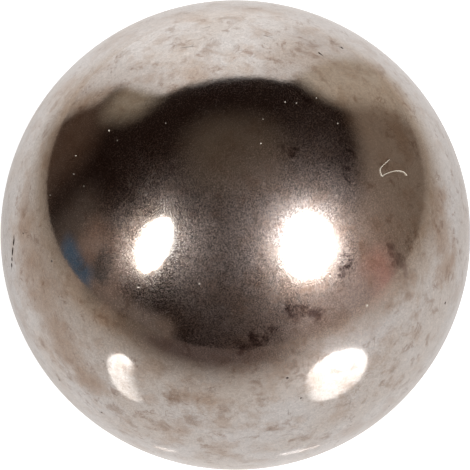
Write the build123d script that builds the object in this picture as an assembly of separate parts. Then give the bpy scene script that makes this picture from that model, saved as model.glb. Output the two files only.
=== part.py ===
from build123d import *

import os
from math import degrees

# Steel ball: one solid, centred on the origin, with the row of nicks that its left side carries.
# The front is -Y and the left is -X. Sizes are in millimetres and angles in degrees.

# Ball
ball_diameter = 19.05

# Nicks, from the top of the row to its foot
nick_lengths = (0.29, 0.33, 0.15, 0.15)
nick_width = 0.12
nick_depth = 0.02
nick_gap = 0.12

# Place of the row's top end
row_azimuth = -76  # round from the front, negative on the left
row_latitude = 15
row_lean = 21  # from straight down towards the front

ball_radius = ball_diameter / 2


def nick_cutter(length):
    """A flattened bead, sunk to its waist into the top of the ball, long way along Y."""
    bead = scale(Sphere(1), by=(nick_width / 2, length / 2, nick_depth))
    return Pos(0, 0, ball_radius) * bead


def nick_row():
    """The cutters, one after the other down a great circle from the top of the ball."""
    cutters = []
    travelled = 0
    for length in nick_lengths:
        turn = degrees((travelled + length / 2) / ball_radius)
        cutters.append(Rot(turn, 0, 0) * nick_cutter(length))
        travelled += length + nick_gap
    return cutters


# The row is laid out on top of the ball, leant over, tipped to the front and turned to its side.
row_place = Rot(0, 0, row_azimuth) * Rot(90 - row_latitude, 0, 0) * Rot(0, 0, row_lean)

steel_ball = Sphere(ball_radius)
for cutter in nick_row():
    steel_ball -= row_place * cutter

os.makedirs("parts", exist_ok=True)
export_step(steel_ball, "parts/steel_ball.step")
print("ball", ball_diameter, "mm, volume", round(steel_ball.volume, 3), "mm3")
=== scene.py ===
import math
import random

import bmesh
import bpy
from mathutils import Matrix, Vector, noise
from mathutils.kdtree import KDTree


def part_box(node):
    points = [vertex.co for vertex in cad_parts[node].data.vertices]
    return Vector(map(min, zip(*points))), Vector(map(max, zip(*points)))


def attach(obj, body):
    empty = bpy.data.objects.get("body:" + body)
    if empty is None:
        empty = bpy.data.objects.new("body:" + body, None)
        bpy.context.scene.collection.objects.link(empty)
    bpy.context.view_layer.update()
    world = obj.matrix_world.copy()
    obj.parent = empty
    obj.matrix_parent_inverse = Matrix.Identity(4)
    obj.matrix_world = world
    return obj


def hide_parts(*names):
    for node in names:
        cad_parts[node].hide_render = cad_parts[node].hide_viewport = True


# A worn steel ball on a pale glossy table, lit by two oval softboxes in front of it.
# Metres throughout. The ball's centre is the origin, the viewer stands at -Y and up is +Z.
# Azimuths run round from the front, positive to the right. Elevations and latitudes are above the
# level of the ball's centre. Both are in degrees.

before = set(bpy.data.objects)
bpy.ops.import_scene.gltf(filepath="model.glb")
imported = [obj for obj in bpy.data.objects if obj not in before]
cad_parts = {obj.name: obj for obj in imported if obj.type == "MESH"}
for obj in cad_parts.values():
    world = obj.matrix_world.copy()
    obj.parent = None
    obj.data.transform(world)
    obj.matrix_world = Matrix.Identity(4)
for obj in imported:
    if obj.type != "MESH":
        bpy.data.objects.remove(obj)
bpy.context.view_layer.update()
mm = 0.001

lowCorner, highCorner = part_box("steel_ball")
ballRadius = (highCorner.z - lowCorner.z) / 2


# unit vector from the ball's centre
def direction(azimuth, elevation):
    a, e = math.radians(azimuth), math.radians(elevation)
    return Vector((math.sin(a) * math.cos(e), -math.cos(a) * math.cos(e), math.sin(e)))


# the directions to the right of and above a place, as seen from outside the ball
def sideways(azimuth, elevation):
    right = direction(azimuth + 90, 0)
    return right, direction(azimuth, elevation).cross(right)


def addMesh(name, bm):
    mesh = bpy.data.meshes.new(name)
    bm.to_mesh(mesh)
    bm.free()
    obj = bpy.data.objects.new(name, mesh)
    bpy.context.scene.collection.objects.link(obj)
    return obj


# camera

cameraSettings = {
    "elevation": 50.5,
    "lens": 1400,  # long, since the picture shows hardly any perspective
    "sensor": 36,
    "fill": 1.0001,  # the ball's radius over half the picture
    "shiftX": -0.0009,
    "shiftY": 0.0,
    "clipRange": 100,  # how many times nearer and farther than the ball it sees
}


def addCamera(s):
    camera = bpy.data.objects.new("camera", bpy.data.cameras.new("camera"))
    bpy.context.scene.collection.objects.link(camera)
    camera.data.lens = s["lens"]
    camera.data.sensor_width = s["sensor"]
    camera.data.shift_x = s["shiftX"]
    camera.data.shift_y = s["shiftY"]
    halfView = s["sensor"] / 2 / s["lens"]
    distance = ballRadius / math.sin(math.atan(halfView * s["fill"]))
    camera.location = direction(0, s["elevation"]) * distance
    camera.rotation_euler = (-camera.location).to_track_quat("-Z", "Y").to_euler()
    camera.data.clip_start = distance / s["clipRange"]
    camera.data.clip_end = distance * s["clipRange"]
    bpy.context.scene.camera = camera


addCamera(cameraSettings)
bpy.context.scene.view_settings.view_transform = "Standard"
print("camera set")


# small helpers for shader nodes

def newMaterial(name):
    material = bpy.data.materials.new(name)
    material.use_nodes = True
    return material, material.node_tree, material.node_tree.nodes["Principled BSDF"]


def newGroup(name, inputs, outputs):
    tree = bpy.data.node_groups.new(name, "ShaderNodeTree")
    for label, kind, value in inputs:
        socket = tree.interface.new_socket(label, in_out="INPUT", socket_type=kind)
        if value is not None:
            socket.default_value = value
    for label, kind in outputs:
        tree.interface.new_socket(label, in_out="OUTPUT", socket_type=kind)
    return tree, tree.nodes.new("NodeGroupInput").outputs, tree.nodes.new("NodeGroupOutput").inputs


# links an output socket to an input, or writes a plain value on it
def plug(tree, value, socket):
    if isinstance(value, bpy.types.NodeSocket):
        tree.links.new(value, socket)
    else:
        socket.default_value = value


def useGroup(tree, group, **values):
    node = tree.nodes.new("ShaderNodeGroup")
    node.node_tree = group
    for label, value in values.items():
        plug(tree, value, node.inputs[label])
    return node.outputs


def maths(tree, operation, *values, clamp=False):
    node = tree.nodes.new("ShaderNodeMath")
    node.operation = operation
    node.use_clamp = clamp
    for value, socket in zip(values, node.inputs):
        plug(tree, value, socket)
    return node.outputs[0]


def vectorMaths(tree, operation, *values):
    node = tree.nodes.new("ShaderNodeVectorMath")
    node.operation = operation
    for value, socket in zip(values, node.inputs):
        plug(tree, value, socket)
    single = operation in ("DOT_PRODUCT", "LENGTH", "DISTANCE")
    return node.outputs["Value" if single else "Vector"]


def scaled(tree, vector, factor):
    node = tree.nodes.new("ShaderNodeVectorMath")
    node.operation = "SCALE"
    plug(tree, vector, node.inputs[0])
    plug(tree, factor, node.inputs["Scale"])
    return node.outputs["Vector"]


def ramp(tree, value, low, high, toLow=0.0, toHigh=1.0, smooth=True):
    node = tree.nodes.new("ShaderNodeMapRange")
    node.interpolation_type = "SMOOTHSTEP" if smooth else "LINEAR"
    for given, socket in zip((value, low, high, toLow, toHigh), node.inputs):
        plug(tree, given, socket)
    return node.outputs[0]


def noiseAt(tree, vector, scale, detail=2.0, roughness=0.5, distortion=0.0, colour=False):
    node = tree.nodes.new("ShaderNodeTexNoise")
    plug(tree, vector, node.inputs["Vector"])
    for label, value in (("Scale", scale), ("Detail", detail), ("Roughness", roughness),
                         ("Distortion", distortion)):
        plug(tree, value, node.inputs[label])
    return node.outputs["Color" if colour else "Fac"]


def gradient(tree, value, stops):
    node = tree.nodes.new("ShaderNodeValToRGB")
    plug(tree, value, node.inputs[0])
    elements = node.color_ramp.elements
    for element, (position, colour) in zip(elements, (stops[0], stops[-1])):
        element.position, element.color = position, colour
    for position, colour in stops[1:-1]:
        elements.new(position).color = colour
    return node.outputs["Color"]


def blendColour(tree, amount, first, second, mode="MIX"):
    node = tree.nodes.new("ShaderNodeMix")
    node.data_type = "RGBA"
    node.blend_type = mode
    for value, label in ((amount, "Factor"), (first, "A"), (second, "B")):
        socket = next(s for s in node.inputs if s.name == label and s.enabled)
        plug(tree, value, socket)
    return next(s for s in node.outputs if s.enabled)


# studio: two oval softboxes, the room that the metal mirrors, and the table

softboxes = [
    {"name": "rightSoftbox", "azimuth": 45.2, "elevation": 34.6, "halfWidth": 0.213, "halfHeight": 0.252,
     "roll": -33, "distance": 3, "radiance": 18.5, "colour": (1.0, 1.0, 1.0)},
    {"name": "leftSoftbox", "azimuth": -49.3, "elevation": 32.9, "halfWidth": 0.126, "halfHeight": 0.240,
     "roll": 4, "distance": 0.2, "radiance": 15, "colour": (1.0, 0.99, 0.965)},
]


def addSoftbox(s):
    light = bpy.data.lights.new(s["name"], "AREA")
    light.shape = "ELLIPSE"
    light.size = 2 * s["distance"] * s["halfWidth"]
    light.size_y = 2 * s["distance"] * s["halfHeight"]
    # an ellipse of this size gives its radiance times pi times its area
    light.energy = s["radiance"] * math.pi * math.pi / 4 * light.size * light.size_y
    light.color = s["colour"]
    lamp = bpy.data.objects.new(s["name"], light)
    place = direction(s["azimuth"], s["elevation"]) * s["distance"]
    turn = (-place).to_track_quat("-Z", "Y").to_matrix() @ Matrix.Rotation(math.radians(s["roll"]), 3, "Z")
    lamp.rotation_euler = turn.to_euler()
    lamp.location = place
    lamp.visible_camera = False
    bpy.context.scene.collection.objects.link(lamp)


for softbox in softboxes:
    addSoftbox(softbox)

# The room is dark, with flat soft-edged cards round the ball. Each has the direction of its middle, its
# half width and half height over its distance, its rounded corners and soft edge, and its colour.
room = {
    "dark": (0.015, 0.008, 0.006),
    "cards": [
        {"name": "ceiling", "azimuth": 0, "elevation": 90, "half": (0.42, 0.36), "corner": 0.3,
         "soft": 0.45, "colour": (0.085, 0.060, 0.042)},
        {"name": "frontWall", "azimuth": 40, "elevation": 5, "half": (0.70, 0.25), "corner": 0.2,
         "soft": 0.5, "colour": (0.040, 0.024, 0.018)},
        {"name": "leftWall", "azimuth": -128, "elevation": 0, "half": (0.30, 0.34), "corner": 0.2,
         "soft": 0.45, "colour": (0.080, 0.049, 0.034)},
        {"name": "leftCorner", "azimuth": -84, "elevation": 2, "half": (0.24, 0.32), "corner": 0.15,
         "soft": 0.40, "colour": (0.090, 0.066, 0.052)},
        {"name": "leftFront", "azimuth": -52, "elevation": -4, "half": (0.46, 0.13), "corner": 0.08,
         "soft": 0.14, "colour": (0.165, 0.125, 0.103)},
        {"name": "rightWall", "azimuth": 106, "elevation": 2, "half": (0.72, 0.52), "corner": 0.25,
         "soft": 0.30, "colour": (0.21, 0.153, 0.113)},
        {"name": "rightWallEnd", "azimuth": 152, "elevation": 12, "half": (0.30, 0.44), "corner": 0.2,
         "soft": 0.25, "colour": (0.52, 0.43, 0.34)},
        {"name": "leftShoulder", "azimuth": -142, "elevation": 28, "half": (0.23, 0.19), "corner": 0.15,
         "soft": 0.26, "colour": (0.31, 0.25, 0.185)},
        {"name": "leftWallEnd", "azimuth": -140, "elevation": 3, "half": (0.075, 0.18), "corner": 0.06,
         "soft": 0.10, "colour": (0.47, 0.38, 0.31)},
        {"name": "backCard", "azimuth": 186, "elevation": 0, "half": (0.62, 1.00), "corner": 0.12,
         "soft": 0.16, "colour": (0.76, 0.69, 0.64)},
        {"name": "backCardMiddle", "azimuth": 188, "elevation": 0, "half": (0.36, 0.98), "corner": 0.2,
         "soft": 0.34, "colour": (1.04, 1.00, 0.97)},
        {"name": "leftRed", "azimuth": -70, "elevation": 8, "half": (0.24, 0.20), "corner": 0.1,
         "soft": 0.22, "colour": (0.215, 0.150, 0.120)},
        {"name": "leftDark", "azimuth": -67.5, "elevation": 8, "half": (0.09, 0.15), "corner": 0.07,
         "soft": 0.09, "colour": (0.050, 0.044, 0.041)},
        {"name": "blueCard", "azimuth": -80, "elevation": -3.5, "half": (0.17, 0.085), "corner": 0.06,
         "soft": 0.13, "colour": (0.066, 0.102, 0.148)},
        {"name": "rightRed", "azimuth": 69, "elevation": 0, "half": (0.16, 0.19), "corner": 0.14,
         "soft": 0.18, "colour": (0.44, 0.23, 0.19)},
        {"name": "rightFront", "azimuth": 46, "elevation": -2, "half": (0.40, 0.18), "corner": 0.14,
         "soft": 0.28, "colour": (0.27, 0.205, 0.175)},
    ],
}


# mask of a flat card with rounded corners and a soft edge, from the direction looked along
def cardGroup():
    vectors = [(label, "NodeSocketVector", None) for label in ("Looking", "Ahead", "Right", "Up")]
    sizes = [(label, "NodeSocketFloat", 0.1) for label in ("HalfWidth", "HalfHeight", "Corner", "Soft")]
    tree, given, result = newGroup("roomCard", vectors + sizes, [("Mask", "NodeSocketFloat")])
    ahead = vectorMaths(tree, "DOT_PRODUCT", given["Looking"], given["Ahead"])
    beyond = []
    for axis, half in (("Right", "HalfWidth"), ("Up", "HalfHeight")):
        across = maths(tree, "DIVIDE", vectorMaths(tree, "DOT_PRODUCT", given["Looking"], given[axis]), ahead)
        straight = maths(tree, "SUBTRACT", given[half], given["Corner"])
        beyond.append(maths(tree, "SUBTRACT", maths(tree, "ABSOLUTE", across), straight))
    outer = [maths(tree, "MAXIMUM", value, 0.0) for value in beyond]
    outside = maths(tree, "SQRT", maths(tree, "ADD", *[maths(tree, "MULTIPLY", v, v) for v in outer]))
    inside = maths(tree, "MINIMUM", maths(tree, "MAXIMUM", *beyond), 0.0)
    edge = maths(tree, "SUBTRACT", maths(tree, "ADD", outside, inside), given["Corner"])
    halfSoft = maths(tree, "MULTIPLY", given["Soft"], 0.5)
    mask = ramp(tree, edge, maths(tree, "MULTIPLY", halfSoft, -1.0), halfSoft, 1.0, 0.0)
    inFront = maths(tree, "GREATER_THAN", ahead, 0.02)  # a card isn't seen from behind
    plug(tree, maths(tree, "MULTIPLY", mask, inFront), result["Mask"])
    return tree


def addRoom(s):
    world = bpy.data.worlds.new("room")
    bpy.context.scene.world = world
    world.use_nodes = True
    tree = world.node_tree
    looking = tree.nodes.new("ShaderNodeTexCoord").outputs["Generated"]
    group = cardGroup()
    colour = (*s["dark"], 1)
    for card in s["cards"]:
        right, up = sideways(card["azimuth"], card["elevation"])
        mask = useGroup(tree, group, Looking=looking, Ahead=direction(card["azimuth"], card["elevation"]),
                        Right=right, Up=up, HalfWidth=card["half"][0], HalfHeight=card["half"][1],
                        Corner=card["corner"], Soft=card["soft"])["Mask"]
        colour = blendColour(tree, mask, colour, (*card["colour"], 1))
    seen = tree.nodes.new("ShaderNodeLightPath").outputs["Is Camera Ray"]
    colour = blendColour(tree, seen, colour, (1, 1, 1, 1))
    tree.links.new(colour, tree.nodes["Background"].inputs["Color"])


addRoom(room)

table = {
    "size": 0.22,
    # the light on it spreads from these pools; the colours run from no light to full light
    "pools": [
        {"centre": (0.000, 0.028), "radius": 0.045, "stretch": 0.25, "strength": 1.10},
        {"centre": (0.044, -0.048), "radius": 0.040, "stretch": 1.6, "strength": 0.42},
        {"centre": (0.021, -0.019), "radius": 0.015, "stretch": 1.0, "strength": 0.52},
        {"centre": (0.000, 0.010), "radius": 0.020, "stretch": 1.0, "strength": 0.22},
        {"centre": (0.085, -0.008), "radius": 0.028, "stretch": 1.3, "strength": 0.12},
        {"centre": (-0.090, 0.000), "radius": 0.030, "stretch": 1.0, "strength": 0.06},
        {"centre": (-0.088, 0.092), "radius": 0.034, "stretch": 1.0, "strength": 0.14},
    ],
    "colours": [
        (0.0, (0.030, 0.020, 0.016, 1)), (0.15, (0.145, 0.108, 0.082, 1)), (0.45, (0.385, 0.314, 0.252, 1)),
        (0.75, (0.600, 0.548, 0.505, 1)), (1.0, (0.745, 0.715, 0.698, 1)),
    ],
    "shadeColour": (0.10, 0.070, 0.060, 1),  # the shade that falls on it in front
    "shadeCentre": (-0.014, -0.085),
    "shadeStart": 0.028,
    "shadeEnd": 0.066,
    # A round patch in front is too dull to mirror the softboxes. A straight line from under the ball,
    # at the azimuth dullTo, cuts off its right side.
    "dullCentre": (0.0, -0.0344),
    "dullRadius": 0.0228,
    "dullTo": 29,
    "dullEdge": 0.0018,
    "roughness": 0.04,
    "gloss": 0.6,
    "seenColour": (0.75, 0.75, 0.75, 1),
    "cameraLift": 0.9,  # what the camera sees on top of the table's own light, so that it reads as white
    "glossyLift": 0.72,  # what the metal sees of its colour, and how much of that takes the shadows as well
    "glossyShare": 0.36,
}


def addTable(s):
    bm = bmesh.new()
    bmesh.ops.create_grid(bm, x_segments=8, y_segments=8, size=s["size"] / 2,
                          matrix=Matrix.Translation((0, 0, -ballRadius)))
    floor = addMesh("table", bm)
    material, tree, shader = newMaterial("paleTable")
    place = tree.nodes.new("ShaderNodeTexCoord").outputs["Object"]
    parts = tree.nodes.new("ShaderNodeSeparateXYZ")
    tree.links.new(place, parts.inputs[0])
    light = 0.0
    for pool in s["pools"]:
        x = maths(tree, "SUBTRACT", parts.outputs["X"], pool["centre"][0])
        y = maths(tree, "SUBTRACT", parts.outputs["Y"], pool["centre"][1])
        behind = maths(tree, "MULTIPLY", maths(tree, "MAXIMUM", y, 0.0), pool["stretch"])
        y = maths(tree, "ADD", maths(tree, "MINIMUM", y, 0.0), behind)
        squares = maths(tree, "ADD", maths(tree, "MULTIPLY", x, x), maths(tree, "MULTIPLY", y, y))
        fall = maths(tree, "ADD", maths(tree, "DIVIDE", squares, pool["radius"] ** 2), 1.0)
        light = maths(tree, "ADD", light, maths(tree, "DIVIDE", pool["strength"], fall))
    colour = gradient(tree, light, s["colours"])
    shade = vectorMaths(tree, "DISTANCE", place, (*s["shadeCentre"], -ballRadius))
    shadeMask = ramp(tree, shade, s["shadeStart"], s["shadeEnd"], 1.0, 0.0)
    colour = blendColour(tree, shadeMask, colour, s["shadeColour"])
    seen = tree.nodes.new("ShaderNodeLightPath").outputs
    base = blendColour(tree, seen["Is Camera Ray"], scaled(tree, colour, s["glossyShare"]), s["seenColour"])
    tree.links.new(base, shader.inputs["Base Color"])
    outwards = vectorMaths(tree, "DISTANCE", place, (*s["dullCentre"], -ballRadius))
    inFromEdge = maths(tree, "SUBTRACT", s["dullRadius"], outwards)
    inFromRight = vectorMaths(tree, "DOT_PRODUCT", place, direction(s["dullTo"] - 90, 0))
    inside = maths(tree, "MINIMUM", inFromEdge, inFromRight)
    gloss = ramp(tree, inside, -s["dullEdge"] / 2, s["dullEdge"], s["gloss"], 0.0)
    tree.links.new(gloss, shader.inputs["Specular IOR Level"])
    shader.inputs["Roughness"].default_value = s["roughness"]
    lift = blendColour(tree, seen["Is Camera Ray"], scaled(tree, colour, s["glossyLift"]),
                       (*[s["cameraLift"]] * 3, 1))
    tree.links.new(lift, shader.inputs["Emission Color"])
    both = maths(tree, "MAXIMUM", seen["Is Camera Ray"], seen["Is Glossy Ray"])
    tree.links.new(both, shader.inputs["Emission Strength"])
    floor.data.materials.append(material)


addTable(table)
print("studio set")


# ball: a round mesh that is divided again near each mark, with the marks dented in

ball = {
    "subdivisions": 6,
    "finerLevels": 4,
    "dentPower": 0.7,  # how square the bowl of a dent is
    "lipReach": 1.5,  # over the dent's own radius
    "lipHeight": 0.05,  # over the dent's depth
}

# The row of nicks is the one in the CAD model.
nickRow = {
    "azimuth": -76,
    "latitude": 15,
    "lean": 21,  # from straight down towards the front
    "lengths": (0.29, 0.33, 0.15, 0.15),
    "width": 0.12,
    "depth": 0.02,
    "gap": 0.12,
    "grime": 2.5,
}

# Pits that the photograph shows: azimuth, latitude and width.
pits = [
    (-29.1, 33.4, 0.14), (63.2, 5.3, 0.10), (127.8, 55.2, 0.10), (125.6, 64.1, 0.09),
    (-73.0, 20.1, 0.07), (-58.2, 24.2, 0.07), (-35.5, -12.6, 0.07), (-49.7, -11.4, 0.08),
    (43.0, -17.1, 0.08), (12.9, 12.1, 0.09), (16.1, 4.6, 0.07),
]
pitLength = 1.2  # over the pit's width
pitDepth = 0.16

# Scratches that the photograph shows: azimuth and latitude of both ends, width, and how full of grime.
scratches = [
    (41.2, -2.6, 37.4, -3.5, 0.055, 0.0), (29.2, -1.5, 28.9, -5.7, 0.045, 0.2),
    (159.6, 70.2, 152.5, 69.8, 0.05, 0.45), (12.9, 1.5, 12.9, -1.1, 0.045, 0.3),
    (-160.2, 66.4, -165.6, 66.1, 0.045, 0.4), (-136.8, 70.0, -146.4, 72.8, 0.05, 0.45),
]
scratchDepth = 0.12  # over the scratch's width

# The side that the photograph doesn't show gets more of them, at random.
unseen = {
    "seed": 19,
    "pits": 26,
    "pitWidths": (0.06, 0.14),
    "pitLengths": (1, 1.8),  # over the width
    "scratches": 20,
    "scratchLengths": (0.3, 0.9),
    "scratchWidths": (0.04, 0.06),
    "scratchDepth": 0.006,
    "scratchGrime": 0.3,
    "dust": 70,
    "dustWidths": (0.02, 0.05),
}


# a random place on the side that the photograph doesn't show, at least a little past the rim
def unseenPlace(rng):
    towardsCamera = direction(0, cameraSettings["elevation"])
    while True:
        place = Vector((rng.gauss(0, 1), rng.gauss(0, 1), rng.gauss(0, 1))).normalized()
        if place.dot(towardsCamera) < -0.05:
            return place


# Each dent is a shallow bowl: its middle, the way it runs, its length, width and depth, and its grime.
def listDents():
    dents = []
    row = nickRow
    start = direction(row["azimuth"], row["latitude"])
    right, up = sideways(row["azimuth"], row["latitude"])
    lean = math.radians(row["lean"])
    heading = right * math.sin(lean) - up * math.cos(lean)
    travelled = 0
    for length in row["lengths"]:
        turn = (travelled + length / 2) * mm / ballRadius
        middle = start * math.cos(turn) + heading * math.sin(turn)
        along = heading * math.cos(turn) - start * math.sin(turn)
        dents.append((middle, along, length * mm, row["width"] * mm, row["depth"] * mm, row["grime"]))
        travelled += length + row["gap"]
    rng = random.Random(unseen["seed"])
    for azimuth, latitude, width in pits:
        along = sideways(azimuth, latitude)[0]
        dents.append((direction(azimuth, latitude), along, width * mm * pitLength, width * mm,
                      width * mm * pitDepth, 1))
    for _ in range(unseen["pits"]):
        middle = unseenPlace(rng)
        along = middle.orthogonal().normalized()
        width = rng.uniform(*unseen["pitWidths"]) * mm
        dents.append((middle, along, width * rng.uniform(*unseen["pitLengths"]), width, width * pitDepth, 1))
    for azimuth, latitude, toAzimuth, toLatitude, width, grime in scratches:
        start, end = direction(azimuth, latitude), direction(toAzimuth, toLatitude)
        length = start.angle(end) * ballRadius
        dents.append(((start + end).normalized(), (end - start).normalized(), length, width * mm,
                      width * mm * scratchDepth, grime))
    for _ in range(unseen["scratches"]):
        middle = unseenPlace(rng)
        along = Matrix.Rotation(rng.uniform(0, math.pi), 3, middle) @ middle.orthogonal().normalized()
        length = rng.uniform(*unseen["scratchLengths"]) * mm
        width = rng.uniform(*unseen["scratchWidths"]) * mm
        dents.append((middle, along, length, width, unseen["scratchDepth"] * mm, unseen["scratchGrime"]))
    return dents


# points along the middle line of a dent, with how far the fine mesh has to reach round each
def dentPoints(middle, along, length, width, depth, grime):
    straight = max(0.0, length - width) / 2
    count = 1 + 2 * math.ceil(straight / (width * 0.5))
    for i in range(count):
        offset = straight * (2 * i / max(1, count - 1) - 1) if count > 1 else 0
        yield (middle + along * offset / ballRadius).normalized() * ballRadius, width * 0.75


def vertexTree(bm):
    tree = KDTree(len(bm.verts))
    for i, vert in enumerate(bm.verts):
        tree.insert(vert.co, i)
    tree.balance()
    bm.verts.ensure_lookup_table()
    return tree


# divides the mesh near the dents, each time within a smaller reach, and keeps it round
def refine(bm, points, levels):
    bm.edges.ensure_lookup_table()
    edgeLength = bm.edges[0].calc_length()
    for _ in range(levels):
        tree = vertexTree(bm)
        near = set()
        for place, reach in points:
            near.update(found[1] for found in tree.find_range(place, reach + edgeLength * 1.1))
        nearVerts = {bm.verts[i] for i in near}
        edges = [e for e in bm.edges if e.verts[0] in nearVerts and e.verts[1] in nearVerts]
        bmesh.ops.subdivide_edges(bm, edges=edges, cuts=1, use_grid_fill=True)
        bmesh.ops.triangulate(bm, faces=[f for f in bm.faces if len(f.verts) > 3])
        for vert in bm.verts:
            vert.co = vert.co.normalized() * ballRadius
        edgeLength /= 2


# presses the bowl of each dent into the mesh, with a slight lip, and marks the grime that it holds
def pressDents(bm, dents, s):
    grimeLayer = bm.verts.layers.float.new("grime")
    tree = vertexTree(bm)
    moved = set()
    for middle, along, length, width, depth, grime in dents:
        across = middle.cross(along)
        for place, index, _ in tree.find_range(middle * ballRadius, length / 2 + width):
            offset = place - middle * ballRadius
            r = math.hypot(offset.dot(along) / (length / 2), offset.dot(across) / (width / 2))
            vert = bm.verts[index]
            # grime thins out from near the edge of the bowl to a little outside it
            vert[grimeLayer] = max(vert[grimeLayer], min(1, grime, (2.6 - 2 * r) * grime))
            if r < 1:
                vert.co -= middle * depth * (1 - r * r) ** s["dentPower"]
                moved.add(index)
            elif r < s["lipReach"]:
                vert.co += middle * depth * s["lipHeight"] * math.sin((r - 1) * 2 * math.pi)
                moved.add(index)
    return moved


def makeBall(s, dents):
    bm = bmesh.new()
    bmesh.ops.create_icosphere(bm, subdivisions=s["subdivisions"], radius=ballRadius)
    refine(bm, [point for dent in dents for point in dentPoints(*dent)], s["finerLevels"])
    moved = pressDents(bm, dents, s)
    for face in bm.faces:
        face.smooth = True
    bm.normal_update()
    # away from the dents the normals are those of a true sphere, so the mirror is free of facets
    normals = [v.normal.copy() if i in moved else v.co.normalized() for i, v in enumerate(bm.verts)]
    obj = addMesh("ball", bm)
    obj.data.normals_split_custom_set_from_vertices(normals)
    return obj


# how far a place is inside a spot of a given size, from 0 outside to 1
def spotGroup():
    inputs = [("Place", "NodeSocketVector", None), ("Middle", "NodeSocketVector", None),
              ("Inner", "NodeSocketFloat", 0.0), ("Outer", "NodeSocketFloat", 0.001)]
    tree, given, result = newGroup("spot", inputs, [("Mask", "NodeSocketFloat")])
    away = vectorMaths(tree, "DISTANCE", given["Place"], given["Middle"])
    plug(tree, ramp(tree, away, given["Inner"], given["Outer"], 1.0, 0.0), result["Mask"])
    return tree


# Places on the ball: azimuth, latitude, and the radii in millimetres within which the mark is whole and
# beyond which it is gone. Below zero for the first means that it is nowhere whole.
# Here the haze is thick.
wornPlaces = [
    (20, 42, 2.5, 7.0), (-36, 41, -1.4, 3.9), (-30, 58, -2.2, 4.0), (48, 64, -1.5, 3.8),
    (150, -20, 2.5, 7.5), (-140, -45, 2.0, 6.0),
]
# dark stains with clear metal between them
darkPlaces = [
    (63.9, 57.2, 0.0, 0.30), (57.7, 55.9, 0.0, 0.36), (52.1, 54.3, 0.0, 0.30), (34.8, 68.5, 0.0, 0.34),
    (39.7, 66.8, 0.0, 0.36), (15.7, 29.7, 0.0, 0.48), (19.3, 30.0, 0.0, 0.46), (22.7, 27.7, 0.0, 0.46),
    (2.7, 22.1, 0.0, 0.46), (5.1, 24.2, 0.0, 0.42), (7.9, 25.0, 0.0, 0.28), (10.2, 26.3, 0.0, 0.25),
    (36.7, 38.3, 0.0, 0.30), (35.4, 36.6, 0.0, 0.34), (34.0, 34.7, 0.0, 0.28), (51.8, 33.4, 0.0, 0.44),
    (51.9, 30.3, 0.0, 0.52), (52.2, 26.7, 0.0, 0.44), (67.8, 36.8, 0.0, 0.16), (65.8, 35.6, 0.0, 0.16),
    (82.6, 71.7, 0.0, 0.35), (140, -15, 0.1, 0.6), (158, -28, 0.1, 0.5), (-130, -50, 0.1, 0.7),
]
# brown smudges
brownPlaces = [
    (10.1, -5.4, 0.0, 0.50), (4.0, -8.4, 0.0, 0.38), (17.3, -12.7, 0.0, 0.46), (23.2, -15.6, 0.0, 0.42),
    (48.3, -1.9, 0.0, 0.36), (38.8, -2.5, 0.0, 0.26), (12.3, 12.2, 0.0, 0.28), (28.8, -2.7, 0.0, 0.24),
    (-7.0, -14.0, 0.0, 0.36), (-7.2, -19.0, 0.0, 0.34), (-3.1, -17.6, 0.0, 0.25), (-14.9, 5.3, 0.0, 0.60),
    (-10.3, -1.7, 0.0, 0.55), (-31.0, -7.1, 0.0, 0.55), (-35.8, -12.9, 0.0, 0.25), (-44.9, -5.2, 0.0, 0.50),
    (-158.0, 74.2, 0.0, 0.55), (-149.3, 76.1, 0.0, 0.45), (-139.4, 83.3, 0.0, 0.42),
    (-117.1, 67.8, 0.0, 0.36), (-146.5, 60.4, 0.0, 0.40), (-112.4, 64.1, 0.0, 0.32),
    (-123.3, 55.2, 0.0, 0.42), (135.0, 63.9, 0.0, 0.50),
    (129.8, 56.7, 0.0, 0.42), (130.0, 76.5, 0.0, 0.42), (156.0, 69.7, 0.0, 0.24), (149.0, 53.4, 0.0, 0.30),
    (-178.6, 80.8, 0.0, 0.28), (-139.5, 69.3, 0.0, 0.36),
    (170, -30, 0.0, 0.60), (120, -45, 0.0, 0.50), (-110, -20, 0.0, 0.60), (-165, 5, 0.0, 0.50),
]
# wide brown veils
veilPlaces = [
    (-73.2, 20.9, 0.2, 1.5), (-65.1, 17.6, 0.3, 1.9), (-57.6, 13.2, 0.3, 1.9), (-50.8, 8.7, 0.2, 1.6),
    (-46.4, 4.4, 0.3, 1.6), (-39.8, -0.4, 0.2, 1.4), (-13.3, 6.5, 0.0, 1.0), (-7.3, 5.6, 0.0, 1.0),
    (70.4, 22.0, 0.2, 1.5), (68.2, 14.5, 0.2, 1.3), (75.8, 27.4, 0.1, 1.2), (-112.0, 79.0, 0.0, 1.5),
    (160, 0, 0.3, 2.2), (-150, -40, 0.3, 2.4), (100, -50, 0.2, 1.8),
]


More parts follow.
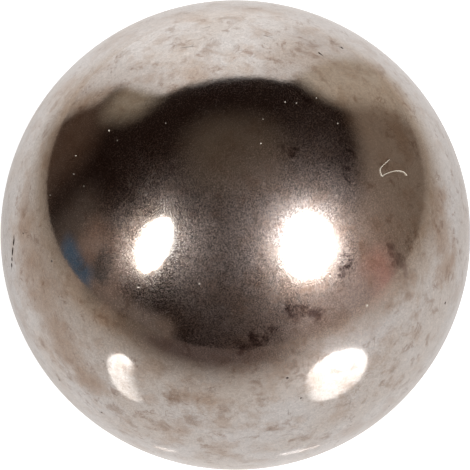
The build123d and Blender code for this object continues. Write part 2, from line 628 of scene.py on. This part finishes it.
steel = {
    "colour": (0.65, 0.625, 0.61, 1),
    "hazeColour": (0.67, 0.505, 0.44, 1),
    "mirrorRoughness": 0.08,
    "dullRoughness": 0.26,
    "hazeRoughness": 0.38,
    "hazeLeast": 0.035,  # the share of dull specks on the clear metal, and where it is most worn
    "hazeMost": 0.47,
    "roughShare": 0.45,  # how many of the dull specks are rough
    "speckSize": 8e-6,
    "raggedness": 0.0016,  # how far the outlines of spots are pushed about
    "smudgeScale": 1500.0,
    "broadScale": 330.0,
    "broadTint": (0.95, 0.91, 0.87, 1),
    "mottleScale": 850.0,
    "mottleTint": (0.87, 0.81, 0.765, 1),
    "veilTint": (0.76, 0.66, 0.58, 1),
    "stainAmount": 0.8,
    "stainTint": (0.64, 0.555, 0.50, 1),
    "stainRoughness": 0.05,  # what it adds
    "strokeAmount": 0.75,
    "strokeTint": (0.56, 0.46, 0.41, 1),
    "darkAmount": 0.8,
    "darkTint": (0.45, 0.34, 0.36, 1),
    "squiggle": (0.80, 1.20),  # fine darker and lighter lines
    "grimeAmount": 0.97,
    "grimeColour": (0.04, 0.025, 0.02, 1),
    "grimeRoughness": 0.6,  # what it adds
    "waveHeight": 0.0000045,
    "rippleShare": 0.25,  # of fine ripples on top of the waves
}


def wornSteel(s):
    material, tree, shader = newMaterial("wornSteel")
    place = tree.nodes.new("ShaderNodeTexCoord").outputs["Object"]
    shader.inputs["Metallic"].default_value = 1
    attribute = tree.nodes.new("ShaderNodeAttribute")
    attribute.attribute_name = "grime"
    grime = attribute.outputs["Fac"]
    grain = noiseAt(tree, place, 12000.0, 1.0)
    # spots get ragged outlines from a place that is pushed about
    push = noiseAt(tree, place, 1900.0, 4.0, 0.65, colour=True)
    push = vectorMaths(tree, "SUBTRACT", push, (0.5, 0.5, 0.5))
    pushed = vectorMaths(tree, "MULTIPLY_ADD", push, [s["raggedness"]] * 3, place)
    group = spotGroup()

    def spots(places, where):
        masks = [useGroup(tree, group, Place=where, Middle=direction(azimuth, latitude) * ballRadius,
                          Inner=inner * mm, Outer=outer * mm)["Mask"]
                 for azimuth, latitude, inner, outer in places]
        total = masks[0]
        for mask in masks[1:]:
            total = maths(tree, "MAXIMUM", total, mask)
        return total

    # stains: ragged smudges, and short strokes along the bends of a finer pattern
    smudge = noiseAt(tree, place, s["smudgeScale"], 3.0, 0.55, 0.4)
    broad = noiseAt(tree, place, s["broadScale"], 2.0)
    stain = maths(tree, "MULTIPLY", ramp(tree, smudge, 0.53, 0.72), ramp(tree, broad, 0.40, 0.60, 0.2, 1.0))
    stain = maths(tree, "MAXIMUM", stain, maths(tree, "MULTIPLY", spots(brownPlaces, pushed), 1.1))
    bend = maths(tree, "SUBTRACT", noiseAt(tree, place, 1500.0, 3.0, 0.6, 0.8), 0.5)
    stroke = ramp(tree, maths(tree, "ABSOLUTE", bend), 0.0, 0.06, 1.0, 0.0)
    for scale, *limits in ((1900.0, 0.50, 0.66), (520.0, 0.42, 0.60, 0.3, 1.0)):
        stroke = maths(tree, "MULTIPLY", stroke, ramp(tree, noiseAt(tree, place, scale, 2.0), *limits))
    squiggle = noiseAt(tree, place, 7000.0, 3.0, 0.6, 1.6)
    mottle = noiseAt(tree, place, s["mottleScale"], 4.0, 0.6)
    dark = spots(darkPlaces, pushed)

    # haze: specks too small to see are dull or rough, and there are more of them where the ball is worn
    haze = ramp(tree, spots(wornPlaces, place), 0.0, 1.0, s["hazeLeast"], s["hazeMost"])
    haze = maths(tree, "MULTIPLY", haze, ramp(tree, dark, 0.0, 1.0, 1.0, 0.3))
    haze = maths(tree, "MULTIPLY", haze, ramp(tree, grain, 0.25, 0.75, 0.8, 1.2))
    haze = maths(tree, "MULTIPLY", haze, ramp(tree, smudge, 0.38, 0.62, 0.93, 1.08))
    cell = vectorMaths(tree, "SNAP", place, [s["speckSize"]] * 3)
    white = tree.nodes.new("ShaderNodeTexWhiteNoise")
    tree.links.new(cell, white.inputs["Vector"])
    isDull = maths(tree, "LESS_THAN", white.outputs["Value"], haze)
    isRough = maths(tree, "LESS_THAN", white.outputs["Value"], maths(tree, "MULTIPLY", haze, s["roughShare"]))

    colour = blendColour(tree, isRough, s["colour"], s["hazeColour"])
    tints = [
        (ramp(tree, broad, 0.42, 0.62), s["broadTint"]),
        (ramp(tree, mottle, 0.46, 0.66), s["mottleTint"]),
        (spots(veilPlaces, pushed), s["veilTint"]),
        (maths(tree, "MULTIPLY", stain, s["stainAmount"]), s["stainTint"]),
        (maths(tree, "MULTIPLY", stroke, s["strokeAmount"]), s["strokeTint"]),
        (maths(tree, "MULTIPLY", dark, s["darkAmount"]), s["darkTint"]),
    ]
    for amount, tint in tints:
        colour = blendColour(tree, amount, colour, tint, "MULTIPLY")
    colour = scaled(tree, colour, ramp(tree, squiggle, 0.25, 0.75, *s["squiggle"], False))
    colour = blendColour(tree, maths(tree, "MULTIPLY", grime, s["grimeAmount"]), colour, s["grimeColour"])
    tree.links.new(colour, shader.inputs["Base Color"])

    rough = ramp(tree, isDull, 0.0, 1.0, s["mirrorRoughness"], s["dullRoughness"])
    rough = ramp(tree, isRough, 0.0, 1.0, rough, s["hazeRoughness"])
    rough = maths(tree, "ADD", rough, maths(tree, "MULTIPLY", stain, s["stainRoughness"]))
    rough = maths(tree, "ADD", rough, maths(tree, "MULTIPLY", grime, s["grimeRoughness"]), clamp=True)
    tree.links.new(rough, shader.inputs["Roughness"])

    bump = tree.nodes.new("ShaderNodeBump")
    bump.inputs["Strength"].default_value = 1
    bump.inputs["Distance"].default_value = s["waveHeight"]
    wave = noiseAt(tree, place, 1000.0, 3.0, 0.4)
    ripple = maths(tree, "MULTIPLY", noiseAt(tree, place, 6000.0, 1.0), s["rippleShare"])
    tree.links.new(maths(tree, "ADD", wave, ripple), bump.inputs["Height"])
    tree.links.new(bump.outputs[0], shader.inputs["Normal"])
    return material


dents = listDents()
steelBall = makeBall(ball, dents)
steelBall.data.materials.append(wornSteel(steel))
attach(steelBall, "root")
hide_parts("steel_ball")
print("ball made:", len(steelBall.data.polygons), "faces,", len(dents), "dents")


# dust: small pale lumps that stand on the ball

dust = {
    "colour": (0.80, 0.76, 0.70, 1),
    "darkerColour": (0.62, 0.55, 0.47, 1),
    "roughness": 0.9,
    # specks that the photograph shows: azimuth, latitude and width
    "specks": [
        (-77.3, 56.9, 0.050), (-69.8, 58.0, 0.030), (-76.5, 46.2, 0.035), (-70.8, 43.8, 0.025),
        (-63.9, 44.7, 0.025), (-60.5, 70.3, 0.025), (69.6, 77.1, 0.035), (73.8, 74.5, 0.033),
        (85.5, 70.0, 0.035), (33.5, 77.9, 0.025), (20.5, 72.2, 0.040), (73.6, 63.3, 0.037),
        (-11.1, 38.0, 0.055), (37.4, 24.3, 0.062), (82.6, 30.8, 0.035), (-72.2, 34.7, 0.025),
    ],
    "halfWidth": 0.65,  # over the width, since the lumps take some of it away
    "flatness": 0.6,
    "stretch": (0.8, 1.4),
    "lift": 0.7,  # how far the middle stands off the ball, over the speck's own half height
    "lumps": 0.3,  # how far the lumps stand out, over its half width
    "lumpScale": 2.2,
}


def addDust(s):
    rng = random.Random(unseen["seed"] + 1)
    noise.seed_set(unseen["seed"])  # without it the lumps change from run to run
    specks = [(direction(azimuth, latitude), width) for azimuth, latitude, width in s["specks"]]
    for _ in range(unseen["dust"]):
        specks.append((unseenPlace(rng), rng.uniform(*unseen["dustWidths"])))
    bm = bmesh.new()
    for place, width in specks:
        half = width * mm * s["halfWidth"]
        turn = place.to_track_quat("Z", "Y").to_matrix().to_4x4()
        spin = Matrix.Rotation(rng.uniform(0, math.tau), 4, "Z")
        shape = Matrix.Diagonal((half * rng.uniform(*s["stretch"]), half, half * s["flatness"], 1))
        at = Matrix.Translation(place * (ballRadius + half * s["flatness"] * s["lift"]))
        made = bmesh.ops.create_icosphere(bm, subdivisions=2, radius=1, matrix=at @ turn @ spin @ shape)
        for vert in made["verts"]:
            vert.co += Vector(noise.noise_vector(vert.co * s["lumpScale"] / half)) * half * s["lumps"]
    for face in bm.faces:
        face.smooth = True
    piece = addMesh("dustSpecks", bm)
    material, tree, shader = newMaterial("paleDust")
    where = tree.nodes.new("ShaderNodeTexCoord").outputs["Object"]
    speckle = noiseAt(tree, where, 60000.0, 2.0)
    colour = blendColour(tree, ramp(tree, speckle, 0.35, 0.65), s["colour"], s["darkerColour"])
    tree.links.new(colour, shader.inputs["Base Color"])
    shader.inputs["Roughness"].default_value = s["roughness"]
    piece.data.materials.append(material)
    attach(piece, "root")
    return piece


dustSpecks = addDust(dust)
print("dust laid:", len(dustSpecks.data.polygons), "faces")


# lint: one kinked pale fibre on the right of the ball

lint = {
    "width": 0.036,
    "colour": (0.86, 0.80, 0.70, 1),
    "darkerColour": (0.66, 0.58, 0.47, 1),
    "roughness": 0.75,
    "thinnest": 0.7,  # over the width
    "unevenness": 0.45,
    "frayedBends": 2,  # the last ones, which are this much thicker
    "fraying": 0.3,
    # azimuth, latitude and height of each bend
    "bends": [
        (73.0, 47.5, 0.05), (70.0, 48.2, 0.03), (67.8, 48.6, 0.02), (66.5, 48.5, 0.02), (65.7, 47.8, 0.02),
        (65.1, 47.1, 0.02), (66.2, 47.0, 0.02), (68.6, 46.1, 0.04), (71.0, 44.8, 0.05), (72.8, 43.2, 0.04),
        (73.6, 41.8, 0.02), (73.3, 41.1, 0.02),
    ],
}


def addLint(s):
    curve = bpy.data.curves.new("lintFibre", "CURVE")
    curve.dimensions = "3D"
    curve.bevel_depth = s["width"] * mm / 2
    curve.bevel_resolution = 2
    curve.use_fill_caps = True
    spline = curve.splines.new("NURBS")
    spline.points.add(len(s["bends"]) - 1)
    for i, (point, (azimuth, latitude, height)) in enumerate(zip(spline.points, s["bends"])):
        place = direction(azimuth, latitude) * (ballRadius + height * mm)
        point.co = (*place, 1)
        uneven = s["unevenness"] * abs(noise.noise(Vector((i * 1.7, 0.3, 0.0))))
        frayed = i >= len(s["bends"]) - s["frayedBends"]
        point.radius = s["thinnest"] + uneven + (s["fraying"] if frayed else 0)
    spline.order_u = 3
    spline.use_endpoint_u = True
    spline.resolution_u = 6
    fibre = bpy.data.objects.new("lintCurve", curve)
    bpy.context.scene.collection.objects.link(fibre)
    bpy.context.view_layer.update()
    mesh = bpy.data.meshes.new_from_object(fibre.evaluated_get(bpy.context.evaluated_depsgraph_get()))
    bpy.data.objects.remove(fibre)
    piece = bpy.data.objects.new("lintFibre", mesh)
    bpy.context.scene.collection.objects.link(piece)
    for polygon in mesh.polygons:
        polygon.use_smooth = True
    material, tree, shader = newMaterial("lintFibre")
    where = tree.nodes.new("ShaderNodeTexCoord").outputs["Object"]
    shade = noiseAt(tree, where, 9000.0, 2.0)
    colour = blendColour(tree, ramp(tree, shade, 0.4, 0.65), s["colour"], s["darkerColour"])
    tree.links.new(colour, shader.inputs["Base Color"])
    shader.inputs["Roughness"].default_value = s["roughness"]
    mesh.materials.clear()
    mesh.materials.append(material)
    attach(piece, "root")
    return piece


lintFibre = addLint(lint)
print("lint laid:", len(lintFibre.data.polygons), "faces")
